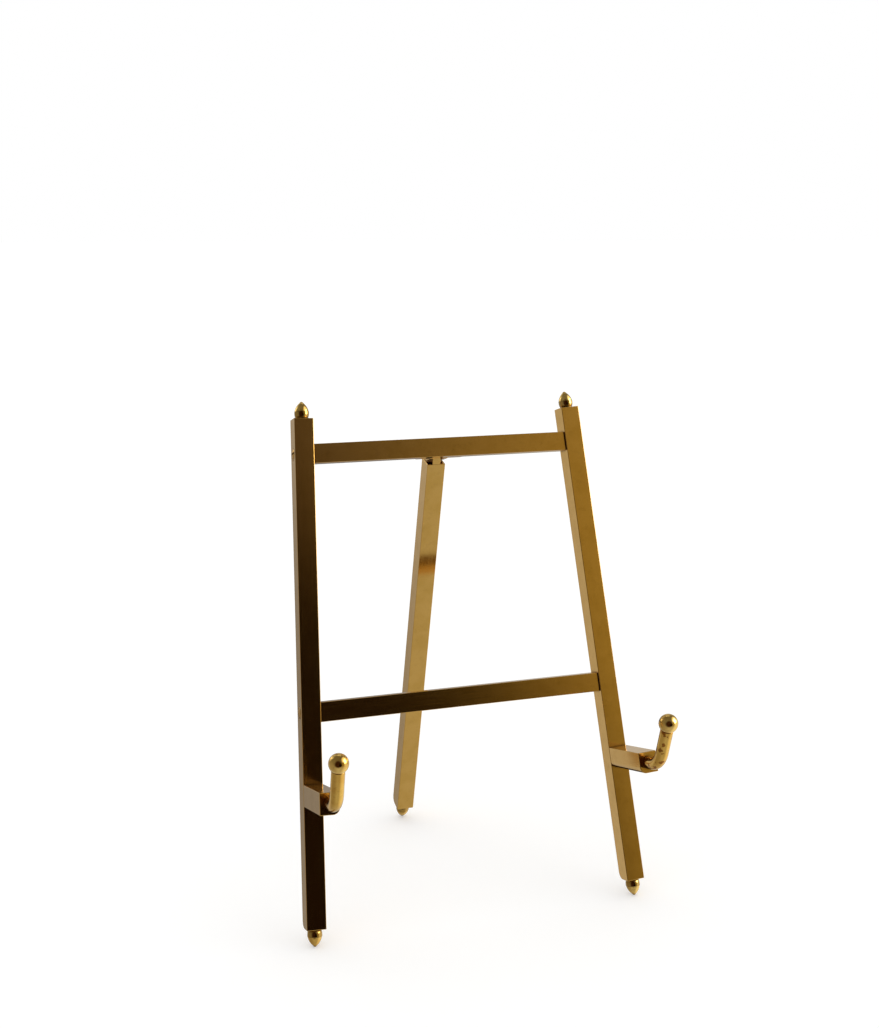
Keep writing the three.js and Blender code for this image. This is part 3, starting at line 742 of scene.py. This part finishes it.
toBack = turnAbout("x", -math.pi / 2)  # turns a screw's +Z to +Y
for name, side in (("left", -1), ("right", 1)):
    place, outwards = sideFrame(side), turnAbout("y", side * math.pi / 2)
    turns = screws["slotTurns"][name]
    for rail, height, turn in zip(("lower", "upper"), railScrewHeights, turns):
        railHole = place @ move(side * halfBar, 0, height) @ outwards
        addScrew(f"{rail}_rail_screw_{name}", screws["rail"], railHole, turn)
    armHole = place @ move(0, halfBar, stand["armMiddle"]) @ toBack
    addScrew(name + "_arm_screw", screws["rail"], armHole, turns[2])

# Hinge: a strap with two cheeks, a pin with a domed head, and a cap nut.
bracket = {
    "width": 27.0, "thickness": 1.6, "rim": 0.3, "screwSpacing": 19.0, "holeDepth": 1.3,
    "cheekThickness": 2.1, "cheekRadius": 4.2, "cheekRim": 0.28, "cheekCorner": 0.3,
    "flat": 0.01,  # what a full round leaves straight
    "steps": 14,
    "slotTurns": {"left": 41, "right": 97},  # degrees
}
strapFront = rails["depth"] / 2 + stand["gap"]
strapRear = strapFront + bracket["thickness"]


# The strap is an outline with half-round ends and two blind screw holes, carried from back to front. Each
# cheek is an outline with a round rear end about the pin, carried across.
def bracketShells():
    reach, high, at = bracket["width"] / 2, rails["height"] / 2, stand["upperRailAt"]
    corners = [(-reach, at - high), (reach, at - high), (reach, at + high), (-reach, at + high)]
    rings = [(radius, min(depth, bracket["holeDepth"])) for radius, depth in countersink(screws["strap"])]
    holes = [
        ((side * bracket["screwSpacing"] / 2, bracket["thickness"] / 2, at), rings) for side in (-1, 1)
    ]
    strap = plateShell(
        roundedOutline(corners, high - bracket["flat"], bracket["steps"]), bracket["thickness"],
        bracket["rim"], acrossY, capRecesses={"low": {"along": np.array([1.0, 0, 0]), "list": holes}},
    )
    strap.points = [points + (0, (strapFront + strapRear) / 2, 0) for points in strap.points]
    radius, inside = bracket["cheekRadius"], strapRear - bracket["thickness"] / 2
    behind = stand["pinBehind"] + radius
    under, over = at - radius, at + radius
    cheekCorners = [(inside, under), (behind, under), (behind, over), (inside, over)]
    full, corner = radius - bracket["flat"], bracket["cheekCorner"]
    outline = roundedOutline(cheekCorners, [corner, full, full, corner], bracket["steps"])
    shells = [strap]
    for side in (-1, 1):
        cheek = plateShell(outline, bracket["cheekThickness"], bracket["cheekRim"], acrossX)
        across = side * (stand["bar"] - bracket["cheekThickness"]) / 2
        cheek.points = [points + (across, 0, 0) for points in cheek.points]
        shells.append(cheek)
    return shells


# Sides and shoulder are profiles of (radius, height) from the face that the head or the nut stands on, and
# from the foot of the nut's dome.
pinSizes = {
    "radius": 1.5, "headRadius": 2.5, "headHeight": 1.5, "headEdge": 0.35, "domeInset": 0.1,
    "headSide": [(2.5, -0.30), (2.5, -0.04), (2.46, 0.0)],
    "nutLength": 3.2, "nutDome": 2.36, "boreBeyond": 0.12,
    "nutSide": [(2.44, 0.0), (2.5, 0.06), (2.5, 0.60), (2.42, 0.68), (2.42, 0.80), (2.5, 0.88)],
    "nutShoulder": [(2.5, -0.12), (2.44, 0.0)],
}


# A low dome, from its rim up to the axis: height = base + top * sqrt(1 - (r / R)^2).
def domeProfile(radius, base, top, steps=14):
    angle = np.linspace(0, math.pi / 2, steps)
    return np.column_stack([radius * np.cos(angle), base + top * np.sin(angle)])


# The pin: its dome, the side of its head and its shank, swung round.
def pinShell():
    reach, edge = halfBar + stand["gap"], pinSizes["headEdge"]
    head = domeProfile(
        pinSizes["headRadius"] - pinSizes["domeInset"], -reach - edge, edge - pinSizes["headHeight"],
    )
    end = reach + pinSizes["nutLength"] - pinSizes["headHeight"]
    return turnedShell(np.vstack([
        head[::-1], np.array(pinSizes["headSide"]) + (0, -reach),
        [(pinSizes["radius"], -reach), (pinSizes["radius"], end), (0, end)],
    ]))


# The cap nut: its bore, its side with one groove, its shoulder and its dome, swung round.
def nutShell():
    bottom = halfBar + stand["gap"]
    shoulder = bottom + pinSizes["nutLength"] - pinSizes["headHeight"]
    bore, boreEnd = pinSizes["radius"] + screws["clearance"], shoulder + pinSizes["boreBeyond"]
    return turnedShell(np.vstack([
        [(0, boreEnd), (bore, boreEnd), (bore, bottom)],
        np.array(pinSizes["nutSide"]) + (0, bottom), np.array(pinSizes["nutShoulder"]) + (0, shoulder),
        domeProfile(pinSizes["nutDome"], shoulder, pinSizes["headHeight"]),
    ]))


railBrass, screwBrass = materials["railBrass"], materials["screwBrass"]
makePiece("hinge_bracketFine", bracketShells(), frontFrame, "front_frame", railBrass)
for name, side in (("left", -1), ("right", 1)):
    place = frontFrame @ move(side * bracket["screwSpacing"] / 2, strapRear, stand["upperRailAt"]) @ toBack
    addScrew("bracket_screw_" + name, screws["strap"], place, bracket["slotTurns"][name])
pinPlace = frontFrame @ move(0, stand["pinBehind"], stand["upperRailAt"]) @ turnAbout("y", math.pi / 2)
makePiece("hinge_pinFine", [pinShell()], pinPlace, "front_frame", screwBrass)
makePiece("hinge_cap_nutFine", [nutShell()], pinPlace, "front_frame", screwBrass)
print("screws and hinge,", len(pieces), "pieces in all")

# The pale floor: half its side and its drop below the feet are in metres.
floorLook = {"half": 40.0, "drop": 2e-5, "colour": (0.80, 0.80, 0.795, 1), "glow": 0.25}


# One square, at the height of -drop.
def makeFloor():
    reach = floorLook["half"]
    mesh = bpy.data.meshes.new("floor")
    corners = np.array([(-reach, -reach, 0), (reach, -reach, 0), (reach, reach, 0), (-reach, reach, 0)])
    mesh.from_pydata(corners - (0, 0, floorLook["drop"]), [], [(0, 1, 2, 3)])
    floor = bpy.data.objects.new("floor", mesh)
    bpy.context.scene.collection.objects.link(floor)
    material = bpy.data.materials.new("paleFloor")
    material.use_nodes = True
    shader = material.node_tree.nodes["Principled BSDF"]
    shader.inputs["Base Color"].default_value = floorLook["colour"]
    shader.inputs["Roughness"].default_value = 1.0
    shader.inputs["Specular IOR Level"].default_value = 0.0
    shader.inputs["Emission Color"].default_value = (1, 1, 1, 1)
    shader.inputs["Emission Strength"].default_value = floorLook["glow"]
    mesh.materials.append(material)
    floor.visible_glossy = False  # the polished brass mirrors the studio below instead


makeFloor()

# The studio as the brass mirrors it. Each lobe is (azimuth, elevation, full within, gone beyond, colour):
# azimuth 0 is the front and 90 the right, in degrees. Lobes lie over one another in this order.
studio = {
    "air": (0.27, 0.255, 0.23),
    "pale": 1.0,  # what the camera sees, and what lights the floor
    "lobes": [
        ("ceiling", (0, 90, 25, 60), (0.20, 0.18, 0.14)),
        ("back wall", (180, 6, 22, 60), (0.60, 0.58, 0.55)),
        ("left side", (-95, 10, 20, 50), (0.24, 0.22, 0.18)),
        ("right window", (71, 22, 26, 44), (1.70, 1.62, 1.46)),
        ("near floor", (0, -90, 60, 84), (0.52, 0.50, 0.45)),
        ("left floor", (-100, -30, 5, 60), (0.36, 0.32, 0.26)),
        ("right floor", (90, -28, 12, 58), (1.05, 1.00, 0.90)),
        ("floor behind", (-154, -26, 5, 24), (0.58, 0.56, 0.54)),
        ("floor far behind", (178, -20, 12, 24), (0.26, 0.25, 0.25)),
        ("brown wall", (33, 6, 12, 26), (0.43, 0.335, 0.130)),
        ("camera side", (-20, 12, 24, 48), (0.045, 0.014, 0.002)),
        ("dark doorway", (6, 2, 13, 21), (0.009, 0.003, 0.001)),
    ],
}

# The way to an azimuth a and an elevation e: (sin a * cos e, -cos a * cos e, sin e).
def direction(azimuth, elevation):
    a, e = math.radians(azimuth), math.radians(elevation)
    return (math.sin(a) * math.cos(e), -math.cos(a) * math.cos(e), math.sin(e))


# Each lobe is mixed over the ones before it, by how near a ray's way is to the lobe's middle: smoothly from
# none at cos(beyond) to all at cos(within). Only mirrored rays see the lobes.
def makeStudio():
    world = bpy.data.worlds.new("studio")
    bpy.context.scene.world = world
    world.use_nodes = True
    nodes, links = world.node_tree.nodes, world.node_tree.links
    nodes.clear()
    way = nodes.new("ShaderNodeTexCoord").outputs["Generated"]
    colour = None
    for _, (azimuth, elevation, within, beyond), lobeColour in studio["lobes"]:
        dot = nodes.new("ShaderNodeVectorMath")
        dot.operation = "DOT_PRODUCT"
        links.new(way, dot.inputs[0])
        dot.inputs[1].default_value = direction(azimuth, elevation)
        fade = nodes.new("ShaderNodeMapRange")
        fade.interpolation_type = "SMOOTHSTEP"
        fade.inputs["From Min"].default_value = math.cos(math.radians(beyond))
        fade.inputs["From Max"].default_value = math.cos(math.radians(within))
        links.new(dot.outputs["Value"], fade.inputs["Value"])
        mix = nodes.new("ShaderNodeMix")
        mix.data_type = "RGBA"
        links.new(fade.outputs["Result"], mix.inputs["Factor"])
        if colour is None:
            mix.inputs[mixFirst].default_value = studio["air"] + (1,)
        else:
            links.new(colour, mix.inputs[mixFirst])
        mix.inputs[mixSecond].default_value = lobeColour + (1,)
        colour = mix.outputs[mixResult]
    mirrored, seen = nodes.new("ShaderNodeBackground"), nodes.new("ShaderNodeBackground")
    links.new(colour, mirrored.inputs["Color"])
    seen.inputs["Color"].default_value = (studio["pale"],) * 3 + (1,)
    rays, choose = nodes.new("ShaderNodeLightPath"), nodes.new("ShaderNodeMixShader")
    links.new(rays.outputs["Is Glossy Ray"], choose.inputs["Fac"])
    links.new(seen.outputs[0], choose.inputs[1])
    links.new(mirrored.outputs[0], choose.inputs[2])
    links.new(choose.outputs[0], nodes.new("ShaderNodeOutputWorld").inputs["Surface"])


makeStudio()

# Soft boxes: azimuth, elevation, distance in metres, width and height in metres, brightness and colour.
softBoxes = {
    "keyRight": (70, 22, 1.4, 0.84, 0.84, 5.0, (1.0, 0.97, 0.91)),
    "leftStrip": (-128, 26, 1.5, 0.22, 0.90, 0.6, (1.0, 0.98, 0.95)),
    "overhead": (160, 62, 1.5, 0.80, 0.26, 0.6, (1.0, 0.98, 0.94)),
    "backLow": (215, 18, 1.6, 0.40, 0.50, 1.3, (1.0, 0.98, 0.95)),
}
middle = np.array([(a + b) / 2 for a, b in zip(*cadBounds)])
lampPower = 4  # watts for each square metre of an area light and unit of the radiance that a mirror shows


# A soft box stands at a distance from the middle of the stand, and faces it: brightness is its radiance.
def makeSoftBox(name, azimuth, elevation, distance, width, height, brightness, colour):
    light = bpy.data.lights.new(name, "AREA")
    light.shape, light.size, light.size_y = "RECTANGLE", width, height
    light.energy = lampPower * brightness * width * height
    light.color = colour
    box = bpy.data.objects.new(name, light)
    box.location = middle + distance * np.array(direction(azimuth, elevation))
    box.rotation_euler = (math.radians(90 - elevation), 0, math.radians(azimuth))
    box.visible_camera = False
    box.visible_diffuse = False  # the floor keeps the even light of the room
    bpy.context.scene.collection.objects.link(box)


for name, values in softBoxes.items():
    makeSoftBox(name, *values)

# The camera's place from the front tips is in millimetres, its angles in degrees.
camera = {
    "fromTips": (-187.05, -506.97, 279.68), "pitch": 11.319, "azimuth": -18.596, "lens": 49.22,
    "shift": (-0.0034, -0.0006), "sensor": 36.0, "clipStart": 0.01,
}
cameraData = bpy.data.cameras.new("camera")
cameraData.lens, cameraData.sensor_width = camera["lens"], camera["sensor"]
cameraData.shift_x, cameraData.shift_y = camera["shift"]
cameraData.clip_start = camera["clipStart"]
cameraObject = bpy.data.objects.new("camera", cameraData)
cameraObject.location = (tipsLine + camera["fromTips"]) * mm
cameraObject.rotation_euler = (math.radians(90 - camera["pitch"]), 0, math.radians(camera["azimuth"]))
bpy.context.scene.collection.objects.link(cameraObject)
bpy.context.scene.camera = cameraObject
bpy.context.scene.view_settings.view_transform = "Standard"
print("floor, studio and camera")

bpy.context.view_layer.update()
